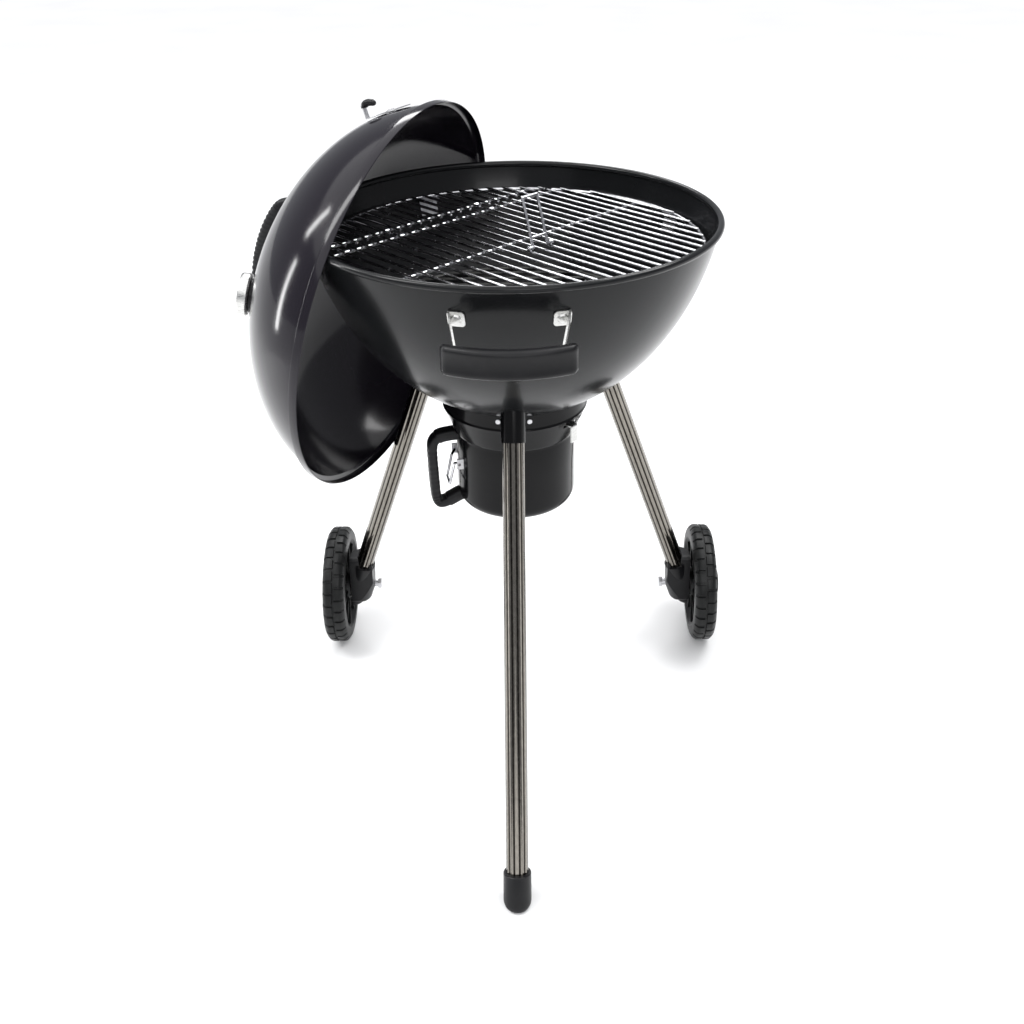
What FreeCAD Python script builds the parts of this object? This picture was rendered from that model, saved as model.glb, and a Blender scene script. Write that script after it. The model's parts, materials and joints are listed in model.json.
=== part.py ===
import FreeCAD, Part
import math
import os

V = FreeCAD.Vector
os.makedirs("parts", exist_ok=True)

# Driving dimensions, mm. Origin on the ground under the bowl's axis, front leg toward -Y, +Z up.
RIM_Z = 841.0
RIM_R = 286.0
BEAD_R = 5.0
SHEET = 1.2
BOWL_A = 295.4
BOWL_B = 374.2
BOWL_CZ = RIM_Z + 93.8
LID_A = 292.3
LID_B = 223.6
LID_CZ = -30.5
SKIRT_R = 293.2
STEP_H = 12.0
LID_CENTRE = V(-166.2, 64.3, 700.1)
LID_OPENS = V(0.9123, -0.3540, -0.2061)
LID_UP = V(0.1921, -0.0745, 0.9785)
LID_SPIN = 14.0
LEG_R = 15.0
SOCKET_R = 16.8
LEG_WALL = 1.5
LEG_TOP_R = 159.3
LEG_TOP_Z = 591.0
FRONT_SLOPE = 0.418
REAR_SLOPE = 0.401
REAR_AZ = 36.0
WHEEL_R = 100.3
WHEEL_X = 318.4
WHEEL_Y = 209.3
WHEEL_W = 38.0
AXLE_R = 6.0
GRATE_Z = 805.0
GRATE_R = 267.0
WIRE_R = 3.0
ROD_R = 2.2
ROD_PITCH = 19.5
ROD_Z = 807.6
HINGE_S = -137.0
FLAP_S = -150.0
HINGE_Z = 803.2
BAIL_S = 55.0
BAIL_Z = 812.6
COAL_Z = 691.0
COAL_R = 211.0
BUCKET_R = 87.8
BUCKET_TOP = 550.0
BUCKET_BOTTOM = 403.5
HANDLE_AZ = 192.0


def save(name, shape):
    shape.exportStep("parts/" + name + ".step")


def fuse(shapes):
    out = shapes[0]
    if len(shapes) > 1:
        out = out.fuse(shapes[1:])
    return out.removeSplitter()


def group(shapes):
    return Part.makeCompound(shapes)


def framed(shape, origin, zdir, xdir):
    # put a shape made about its own origin into the frame with the given z and x directions
    z = V(zdir).normalize()
    x = V(xdir) - z * z.dot(xdir)
    x.normalize()
    y = z.cross(x)
    m = FreeCAD.Matrix(x.x, y.x, z.x, origin.x, x.y, y.y, z.y, origin.y,
                       x.z, y.z, z.z, origin.z, 0, 0, 0, 1)
    out = shape.copy()
    out.transformShape(m)
    return out


def turned(shape, deg):
    out = shape.copy()
    out.rotate(V(0, 0, 0), V(0, 0, 1), deg)
    return out


def polar(r, az, z):
    a = math.radians(az)
    return V(r * math.cos(a), r * math.sin(a), z)


def rod(p, q, r):
    return Part.makeCylinder(r, (q - p).Length, p, q - p)


def ring(radius, wire, z):
    return Part.makeTorus(radius, wire, V(0, 0, z))


def ell_r(a, b, cz, z):
    return a * math.sqrt(max(0.0, 1 - ((z - cz) / b) ** 2))


def ell_edge(a, b, cz, p, q):
    # elliptical arc in the XZ plane about the Z axis, from p to q
    top = V(0, 0, cz + b)
    side = V(a, 0, cz)
    if b > a:
        curve = Part.Ellipse(top, side, V(0, 0, cz))
    else:
        curve = Part.Ellipse(side, top, V(0, 0, cz))
    u = curve.parameter(p)
    v = curve.parameter(q)
    if v < u:
        u, v = v, u
    if v - u > math.pi:
        u, v = v, u + 2 * math.pi
    return curve.toShape(u, v)


def line(p, q):
    return Part.LineSegment(p, q).toShape()


def spun(edges, deg=360.0):
    face = Part.Face(Part.Wire(Part.__sortEdges__(edges)))
    return face.revolve(V(0, 0, 0), V(0, 0, 1), deg)


def poly(points):
    pts = [V(*p) for p in points]
    return Part.Face(Part.makePolygon(pts + [pts[0]]))


def spun_poly(rz, deg=360.0):
    return poly([(r, 0, z) for r, z in rz]).revolve(V(0, 0, 0), V(0, 0, 1), deg)


def bowl_solid(grow, z_top):
    # everything inside the bowl's outer surface, grown or shrunk by a distance
    a, b = BOWL_A + grow, BOWL_B + grow
    low = V(0, 0, BOWL_CZ - b)
    edge = V(ell_r(a, b, BOWL_CZ, z_top), 0, z_top)
    return spun([ell_edge(a, b, BOWL_CZ, low, edge), line(edge, V(0, 0, z_top)), line(V(0, 0, z_top), low)])


def dome_solid(grow, h0):
    a, b = LID_A + grow, LID_B + grow
    top = V(0, 0, LID_CZ + b)
    edge = V(ell_r(a, b, LID_CZ, h0), 0, h0)
    return spun([ell_edge(a, b, LID_CZ, edge, top), line(top, V(0, 0, h0)), line(V(0, 0, h0), edge)])


def bowl_normal(z):
    r = ell_r(BOWL_A, BOWL_B, BOWL_CZ, z)
    n = V(r / BOWL_A ** 2, 0, (z - BOWL_CZ) / BOWL_B ** 2)
    return n.normalize()


def leg_point(az, slope, z):
    return polar(LEG_TOP_R + slope * (LEG_TOP_Z - z), az, z)


LEGS = [(-90.0, FRONT_SLOPE), (REAR_AZ, REAR_SLOPE), (180.0 - REAR_AZ, REAR_SLOPE)]


def shell_strip(z_low, z_high, half_deg, az):
    wall = bowl_solid(-SHEET, RIM_Z).cut(bowl_solid(-SHEET - 1.5, RIM_Z))
    box = spun_poly([(150, z_low), (300, z_low), (300, z_high), (150, z_high)], 2 * half_deg)
    return wall.common(turned(box, az - half_deg))


# ---- bowl -------------------------------------------------------------------------------

def rivet_spots():
    spots = []
    for side in (-1, 1):
        az = -90.0 + side * 13.3
        spots.append((az, 799.0))
    return spots


def make_bowl():
    outer = bowl_solid(0, RIM_Z)
    inner = bowl_solid(-SHEET, RIM_Z)
    shell = outer.cut(inner)
    body = shell.fuse(ring(RIM_R, BEAD_R, RIM_Z))
    cuts = []
    for k in range(3):
        slot = spun_poly([(34, 540), (88, 540), (88, 620), (34, 620)], 26)
        cuts.append(turned(slot, 60 + 120 * k - 13))
    cuts.append(Part.makeCylinder(5.0, 40, V(0, 0, 545)))
    for az, z in rivet_spots():
        n = bowl_normal(z)
        start = V(ell_r(BOWL_A, BOWL_B, BOWL_CZ, z), 0, z) - n * 10
        cuts.append(turned(Part.makeCylinder(3.1, 20, start, n), az))
    save("bowl", body.cut(cuts))


def make_grate_supports():
    for name, z, r_in, az0 in (("grate_supports_upper", GRATE_Z - WIRE_R - 0.3, 258, 30),
                               ("grate_supports_lower", COAL_Z - WIRE_R - 0.3, 200, 55)):
        tabs = []
        for k in range(4):
            az = az0 + 90 * k
            half = 3.0 if z > 750 else 4.0
            strip = shell_strip(z - 26, z, half, az)
            ledge = spun_poly([(r_in, z - 1.5), (300, z - 1.5), (300, z), (r_in, z)], 2 * half)
            ledge = turned(ledge, az - half).common(bowl_solid(-SHEET, RIM_Z))
            tabs.append(fuse([strip, ledge]))
        save(name, group(tabs))


# ---- legs -------------------------------------------------------------------------------

def make_legs():
    sockets = []
    bolts = []
    for (az, slope), name in zip(LEGS, ("front_leg", "rear_right_leg", "rear_left_leg")):
        low = leg_point(az, slope, 577.0)
        high = leg_point(az, slope, 690.0)
        socket = rod(low, high, SOCKET_R).cut(rod(low, high, LEG_R + 0.3))
        socket = socket.cut(bowl_solid(0, RIM_Z))
        axis = (high - low).normalize()
        inward = polar(-1, az, 0)
        inward = inward - axis * axis.dot(inward)
        inward.normalize()
        spot = leg_point(az, slope, 586.0)
        shank = Part.makeCylinder(2.5, 8, spot + inward * 11, inward)
        head = Part.makeCylinder(5.0, 2.6, spot + inward * (SOCKET_R + 0.1), inward)
        bolts.append(fuse([shank, head]))
        hole = Part.makeCylinder(2.6, 14, spot + inward * 8, inward)
        sockets.append(socket.cut(hole))
        end = leg_point(az, slope, 26.0 if az < 0 else 128.0)
        start = leg_point(az, slope, 604.0)
        tube = rod(start, end, LEG_R).cut(rod(start, end, LEG_R - LEG_WALL))
        save(name, tube.cut(hole))
    save("leg_sockets", group(sockets))
    save("socket_bolts", group(bolts))


def make_front_cap():
    az, slope = LEGS[0]
    foot = leg_point(az, slope, 0.0)
    top = leg_point(az, slope, 44.0)
    cap = rod(leg_point(az, slope, -30.0), top, 19.0)
    cap = cap.cut(Part.makeBox(200, 200, 60, V(foot.x - 100, foot.y - 100, -60)))
    bore = rod(leg_point(az, slope, 25.7), leg_point(az, slope, 60.0), LEG_R + 0.02)
    save("front_foot_cap", cap.cut(bore))


def make_rear_caps():
    caps = []
    axles = []
    washers = []
    nuts = []
    for side, az in ((1, REAR_AZ), (-1, 180.0 - REAR_AZ)):
        top = leg_point(az, REAR_SLOPE, 150.0)
        low = leg_point(az, REAR_SLOPE, 66.0)
        sleeve = rod(top, low, 19.0)
        slab = Part.makeBox(40, 44, 90, V(258, WHEEL_Y - 24, 74))
        slab = slab.makeFillet(8, [e for e in slab.Edges if abs(e.tangentAt(0).x) > 0.9])
        if side < 0:
            slab = slab.mirror(V(0, 0, 0), V(1, 0, 0))
        block = fuse([sleeve, slab.common(rod(leg_point(az, REAR_SLOPE, 190.0), low, 30))])
        keep = Part.makeBox(140, 140, 200, V(157.4, WHEEL_Y - 70, 60))
        if side < 0:
            keep = keep.mirror(V(0, 0, 0), V(1, 0, 0))
        block = block.common(keep)
        bore = rod(leg_point(az, REAR_SLOPE, 170.0), leg_point(az, REAR_SLOPE, 127.7), LEG_R + 0.02)
        across = Part.makeCylinder(AXLE_R + 0.02, 90, V(side * 250, WHEEL_Y, WHEEL_R), V(side, 0, 0))
        caps.append(block.cut([bore, across]))
        shank = Part.makeCylinder(AXLE_R, 95, V(side * 252, WHEEL_Y, WHEEL_R), V(side, 0, 0))
        head = framed(hexagon(9.5, 6), V(side * 252, WHEEL_Y, WHEEL_R), V(-side, 0, 0), V(0, 0, 1))
        axles.append(fuse([shank, head]))
        washer = Part.makeCylinder(13, 1.5, V(side * 297.6, WHEEL_Y, WHEEL_R), V(side, 0, 0))
        washers.append(washer.cut(across))
        nut = hexagon(9.5, 7).cut(Part.makeCylinder(AXLE_R + 0.02, 30, V(0, 0, -5)))
        nuts.append(framed(nut, V(side * 339.0, WHEEL_Y, WHEEL_R), V(side, 0, 0), V(0, 0, 1)))
    save("rear_leg_caps", group(caps))
    save("axle_bolts", group(axles))
    save("axle_washers", group(washers))
    save("axle_nuts", group(nuts))


def hexagon(r, h):
    pts = [(r * math.cos(math.radians(60 * k)), r * math.sin(math.radians(60 * k)), 0) for k in range(6)]
    return poly(pts).extrude(V(0, 0, h))


# ---- wheels -----------------------------------------------------------------------------

def make_wheels():
    half = WHEEL_W / 2
    for name, side in (("right", 1), ("left", -1)):
        centre = V(side * WHEEL_X, WHEEL_Y, WHEEL_R)
        profile = [(AXLE_R + 0.08, -half + 0.5), (24, -half + 0.5), (27, -half + 6), (72, -half + 9), (78, -half),
                   (92, -half), (WHEEL_R, -half + 8), (WHEEL_R, half - 8), (92, half), (78, half), (72, half - 9),
                   (27, half - 6), (24, half - 1), (AXLE_R + 0.08, half - 1)]
        wheel = spun_poly(profile)
        wheel = framed(wheel, centre, V(side, 0, 0), V(0, 0, 1))
        save(name + "_wheel", wheel)
        cap = Part.makeCylinder(21, 12, V(0, 0, half - 0.7)).cut(Part.makeCylinder(17, 11, V(0, 0, half - 1)))
        lip = spun_poly([(19, half - 1), (23.5, half - 1), (23.5, half + 1.5), (19, half + 1.5)])
        cap = fuse([cap, lip.cut(Part.makeCylinder(18, 3, V(0, 0, half - 1.5)))])
        save(name + "_hub_cap", framed(cap, centre, V(side, 0, 0), V(0, 0, 1)))


# ---- front handle -----------------------------------------------------------------------

def make_front_handle():
    z_low, z_high = 748.0, 786.0
    a = V(-81, -325, 0)
    b = V(0, -346, 0)
    c = V(81, -325, 0)
    front = Part.Arc(a, b, c).toShape()
    d = V(81, -306, 0)
    e = V(0, -325, 0)
    f = V(-81, -306, 0)
    back = Part.Arc(d, e, f).toShape()
    face = Part.Face(Part.Wire([front, line(c, d), back, line(f, a)]))
    grip = face.extrude(V(0, 0, z_high - z_low))
    grip.translate(V(0, 0, z_low))
    longs = [g for g in grip.Edges if g.Length > 100]
    grip = grip.makeFillet(8, longs)
    brackets = []
    rivets = []
    for az, z in rivet_spots():
        side = 1 if az > -90 else -1
        n = bowl_normal(z)
        start = V(ell_r(BOWL_A, BOWL_B, BOWL_CZ, z), 0, z)
        up = V(-n.z, 0, n.x)
        plate = Part.makeBox(22, 22, 2.0, V(-11, -11, 0.35))
        plate = plate.makeFillet(5, [g for g in plate.Edges if g.Length < 2.1])
        plate = turned(framed(plate, start, n, up), az)
        p = V(side * 73, -266.5, 802)
        q = V(side * 62, -320.0, 771)
        width = V(side, 0, 0)
        arm = framed(Part.makeBox(2.4, 18, (q - p).Length, V(-1.2, -9, 0)), p, q - p, width)
        plate = fuse([plate, arm.cut(bowl_solid(0.3, RIM_Z))])
        hole = turned(Part.makeCylinder(3.1, 20, start - n * 10, n), az)
        grip = grip.cut(arm)
        brackets.append(plate.cut(hole))
        shank = Part.makeCylinder(3.0, 6.5, start - n * 3.0, n)
        head = spun_poly([(0, 0), (7, 0), (5.5, 2.2), (0, 3.2)])
        head = framed(head, start + n * 2.35, n, up)
        tail = framed(spun_poly([(0, 0), (5.5, 0), (4, 2.0), (0, 2.6)]), start - n * 1.5, n * -1, up)
        rivets.append(turned(fuse([shank, head, tail]), az))
    save("bowl_handle_grip", grip)
    save("bowl_handle_brackets", group(brackets))
    save("bowl_handle_rivets", group(rivets))


# ---- ash collar, cleaning blades and bucket -----------------------------------------------

def make_collar():
    profile = [(105.0, 592), (105.0, 563.5), (106.4, 562), (105.6, 560.3), (89.9, 522), (88.6, 522),
               (104.3, 560.9), (103.8, 563.5), (103.8, 592)]
    collar = spun_poly(profile).cut(bowl_solid(0, RIM_Z))
    window = spun_poly([(90, 550.2), (120, 550.2), (120, 556.4), (90, 556.4)], 74)
    collar = collar.cut(turned(window, -47))
    screws = []
    for az in (-102, -78, 30, 90, 150):
        out = polar(1, az, 0)
        shank = Part.makeCylinder(1.6, 5.5, polar(101, az, 577), out)
        head = Part.makeCylinder(3.4, 1.8, polar(105.1, az, 577), out)
        screws.append(fuse([shank, head]))
        collar = collar.cut(Part.makeCylinder(1.7, 14, polar(97, az, 577), out))
    save("ash_collar", collar)
    save("collar_screws", group(screws))


def make_cleaner():
    inner_a = BOWL_A - SHEET - 0.4
    inner_b = BOWL_B - SHEET - 0.4
    parts = []
    for k in range(3):
        thick = 1.3
        p = V(inner_a * math.sin(0.06), 0, BOWL_CZ - inner_b * math.cos(0.06))
        q = V(inner_a * math.sin(0.40), 0, BOWL_CZ - inner_b * math.cos(0.40))
        ia, ib = inner_a - thick, inner_b - thick
        p2 = V(ia * math.sin(0.06), 0, BOWL_CZ - ib * math.cos(0.06))
        q2 = V(ia * math.sin(0.40), 0, BOWL_CZ - ib * math.cos(0.40))
        blade = spun([ell_edge(inner_a, inner_b, BOWL_CZ, p, q), line(q, q2),
                      ell_edge(ia, ib, BOWL_CZ, p2, q2), line(p2, p)], 15)
        parts.append(turned(blade, 120 * k - 7.5))
    hub = bowl_solid(-SHEET - 0.4, 566).common(Part.makeCylinder(26, 40, V(0, 0, 555)))
    shaft = Part.makeCylinder(4.93, 18, V(0, 0, 549))
    save("cleaning_blades", fuse(parts + [hub, shaft]))
    strip = Part.makeBox(112, 13, 2.4, V(0, -6.5, 552.2))
    bend = Part.makeBox(2.4, 13, 26, V(109.6, -6.5, 528.6))
    lever = fuse([strip, bend])
    edges = [g for g in lever.Edges if abs(g.CenterOfMass.x - 112) < 0.2 and g.CenterOfMass.z > 554]
    lever = lever.makeFillet(2.2, edges)
    lever = lever.cut(Part.makeCylinder(4.95, 20, V(0, 0, 545)))
    eye = Part.makeCylinder(12, 2.4, V(0, 0, 552.2)).cut(Part.makeCylinder(4.95, 20, V(0, 0, 545)))
    save("cleaning_lever", turned(fuse([lever, eye]), -40))
    nut = hexagon(8.0, 4.4).cut(Part.makeCylinder(4.95, 20, V(0, 0, -5)))
    nut.translate(V(0, 0, 547.6))
    save("shaft_nut", nut)


def bucket_outline(grow):
    r = BUCKET_R + grow
    low = BUCKET_BOTTOM - grow
    k = 20 + grow
    arc = Part.Arc(V(r, 0, low + k), V(r - k * (1 - math.sqrt(0.5)), 0, low + k * (1 - math.sqrt(0.5))),
                   V(r - k, 0, low)).toShape()
    return [line(V(0, 0, low), V(r - k, 0, low)), arc, line(V(r, 0, low + k), V(r, 0, BUCKET_TOP)),
            line(V(r, 0, BUCKET_TOP), V(0, 0, BUCKET_TOP)), line(V(0, 0, BUCKET_TOP), V(0, 0, low))]


def make_bucket():
    outer = spun(bucket_outline(0))
    inner = spun(bucket_outline(-1.0))
    shell = outer.cut(inner).fuse(ring(BUCKET_R - 1.5, 1.5, BUCKET_TOP - 0.5))
    pts = [(70, 0, 520), (90.2, 0, 520), (95, 0, 530), (104, 0, 530), (130, 0, 525), (134, 0, 519), (129, 0, 400),
           (125, 0, 394), (118, 0, 391), (92, 0, 397), (74, 0, 404), (70, 0, 425), (98, 0, 422), (113, 0, 418),
           (117, 0, 424), (118, 0, 494), (115, 0, 500), (100, 0, 503), (84, 0, 504), (70, 0, 504)]
    face = poly(pts)
    handle = face.extrude(V(0, 24, 0))
    handle.translate(V(0, -12, 0))
    handle = handle.cut(spun(bucket_outline(1.0)))
    handle = handle.common(Part.makeBox(100, 60, 200, V(72, -30, 380)))
    handle = turned(handle, HANDLE_AZ)
    out = polar(1, HANDLE_AZ, 0)
    shank = Part.makeCylinder(2.0, 14, polar(85, HANDLE_AZ, 512), out)
    head = Part.makeCylinder(4.5, 1.8, polar(84.9, HANDLE_AZ, 512), out)
    hole = Part.makeCylinder(2.05, 15.2, polar(84, HANDLE_AZ, 512), out)
    shell = shell.cut(hole)
    handle = handle.cut(hole)
    pair = []
    for y in (-26.0, 26.0):
        lug = Part.makeBox(13, 3, 16, V(80, y - 1.5, 470)).cut(outer)
        lug = lug.cut(Part.makeCylinder(2.06, 12, V(89.5, y - 6, 478), V(0, 1, 0)))
        pair.append(turned(lug, HANDLE_AZ))
    save("ash_bucket", shell)
    save("bucket_handle", handle)
    save("bucket_handle_screw", fuse([shank, head]))
    save("latch_lugs", group(pair))
    # squeeze wire: a loop in the finger gap, turning in the two lugs
    y = 26.0
    path = [V(89.5, -y - 3, 478), V(89.5, -y + 4, 478), V(95, -14, 474), V(103, -13, 440), V(103, 13, 440),
            V(95, 14, 474), V(89.5, y - 4, 478), V(89.5, y + 3, 478)]
    wire = [rod(path[k], path[k + 1], 2.0) for k in range(len(path) - 1)]
    wire += [Part.makeSphere(2.0, p) for p in path[1:-1]]
    save("latch_wire", turned(fuse(wire), HANDLE_AZ))


# ---- grates -----------------------------------------------------------------------------

def sw(s, w, z):
    # a point by its place along the rods (s) and across them (w)
    k = math.sqrt(0.5)
    return V(k * (s + w), k * (w - s), z)


def side_of(s0, far, z):
    # a big block covering s beyond s0
    block = Part.makeBox(400, 800, 40, V(0, -400, z - 20)) if far > 0 else Part.makeBox(400, 800, 40,
                                                                                   V(-400, -400, z - 20))
    block.translate(V(s0, 0, 0))
    return turned(block, -45)


def make_cooking_grate():
    edge = ring(GRATE_R, WIRE_R, GRATE_Z)
    main = edge.common(side_of(HINGE_S - 4, 1, GRATE_Z))
    flap = edge.common(side_of(FLAP_S, -1, GRATE_Z))
    main_parts = [main]
    flap_parts = [flap]
    for k in range(-13, 14):
        w = ROD_PITCH * k
        reach = math.sqrt(GRATE_R ** 2 - w ** 2)
        first = max(-reach, HINGE_S - 3.2)
        main_parts.append(rod(sw(first, w, ROD_Z), sw(reach, w, ROD_Z), ROD_R))
        if reach > -FLAP_S + 8:
            flap_parts.append(rod(sw(-reach, w, ROD_Z), sw(FLAP_S, w, ROD_Z), ROD_R))
    for s in (HINGE_S, 3.0):
        half = math.sqrt(GRATE_R ** 2 - s ** 2)
        main_parts.append(rod(sw(s, -half, HINGE_Z), sw(s, half, HINGE_Z), 2.5))
    s = -171.0
    half = math.sqrt(GRATE_R ** 2 - s ** 2)
    flap_parts.append(rod(sw(s, -half, HINGE_Z), sw(s, half, HINGE_Z), 2.5))
    for w in (-ROD_PITCH, ROD_PITCH):
        sleeve = rod(sw(BAIL_S, w - 3, BAIL_Z), sw(BAIL_S, w + 3, BAIL_Z), 4.0)
        main_parts.append(sleeve)
    bores = [rod(sw(BAIL_S, -40, BAIL_Z), sw(BAIL_S, 40, BAIL_Z), 2.06)]
    save("cooking_grate", fuse(main_parts).cut(bores))
    save("grate_flap", fuse(flap_parts))
    clips = []
    for w in (-9.5 * ROD_PITCH, -4.5 * ROD_PITCH, 4.5 * ROD_PITCH, 9.5 * ROD_PITCH):
        curl = rod(sw(HINGE_S, w - 4, HINGE_Z), sw(HINGE_S, w + 4, HINGE_Z), 4.4)
        hook = rod(sw(s, w - 4, HINGE_Z), sw(s, w + 4, HINGE_Z), 4.4)
        strap = rod(sw(HINGE_S, w, HINGE_Z), sw(s, w, HINGE_Z), 2.2)
        clip = fuse([curl, hook, strap])
        clip = clip.cut(rod(sw(HINGE_S, w - 20, HINGE_Z), sw(HINGE_S, w + 20, HINGE_Z), 2.58))
        clip = clip.cut(rod(sw(s, w - 20, HINGE_Z), sw(s, w + 20, HINGE_Z), 2.52))
        clips.append(clip)
    save("flap_clips", group(clips))
    foot = 24.0
    leg = 14.0
    lean = 0.30
    top = 66.0
    bs = BAIL_S
    a = sw(bs, -foot, BAIL_Z)
    b = sw(bs, -leg, BAIL_Z)
    c = sw(bs - lean * top, -leg, BAIL_Z + top)
    d = sw(bs - lean * top, leg, BAIL_Z + top)
    e = sw(bs, leg, BAIL_Z)
    f = sw(bs, foot, BAIL_Z)
    g = sw(bs - lean * 13, -leg, BAIL_Z + 13)
    h = sw(bs - lean * 13, leg, BAIL_Z + 13)
    wires = [rod(a, b, 2.0), rod(b, c, 2.0), rod(c, d, 2.0), rod(d, e, 2.0), rod(e, f, 2.0), rod(g, h, 2.0)]
    wires += [Part.makeSphere(2.0, p) for p in (b, c, d, e)]
    save("grate_bail", fuse(wires))


def make_charcoal_grate():
    parts = [ring(COAL_R, WIRE_R, COAL_Z)]
    for k in range(-7, 8):
        y = 26.0 * k
        reach = math.sqrt(COAL_R ** 2 - y ** 2)
        parts.append(rod(V(-reach, y, COAL_Z + 2.6), V(reach, y, COAL_Z + 2.6), 3.0))
    for x in (-70.0, 70.0):
        reach = math.sqrt(COAL_R ** 2 - x ** 2)
        parts.append(rod(V(x, -reach, COAL_Z - 0.4), V(x, reach, COAL_Z - 0.4), 2.6))
    save("charcoal_grate", fuse(parts))


# ---- lid ----------------------------------------------------------------------------------

def lid_place(shape):
    # the lid's own frame: z up through the dome, x along its handle
    back = LID_OPENS * -1
    side = LID_UP.cross(LID_OPENS)
    if side.x < 0:
        side = side * -1
    k = math.radians(LID_SPIN)
    xdir = LID_UP * math.cos(k) + side * math.sin(k)
    return framed(shape, LID_CENTRE, back, xdir)


def dome_spot(az, radial, proud):
    h = LID_CZ + LID_B * math.sqrt(1 - (radial / LID_A) ** 2)
    n = V(radial / LID_A ** 2, 0, (h - LID_CZ) / LID_B ** 2)
    n.normalize()
    p = V(radial, 0, h) + n * proud
    along = V(-n.z, 0, n.x)
    return turned_vec(p, az), turned_vec(n, az), turned_vec(along, az)


def turned_vec(v, az):
    a = math.radians(az)
    return V(v.x * math.cos(a) - v.y * math.sin(a), v.x * math.sin(a) + v.y * math.cos(a), v.z)


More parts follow.
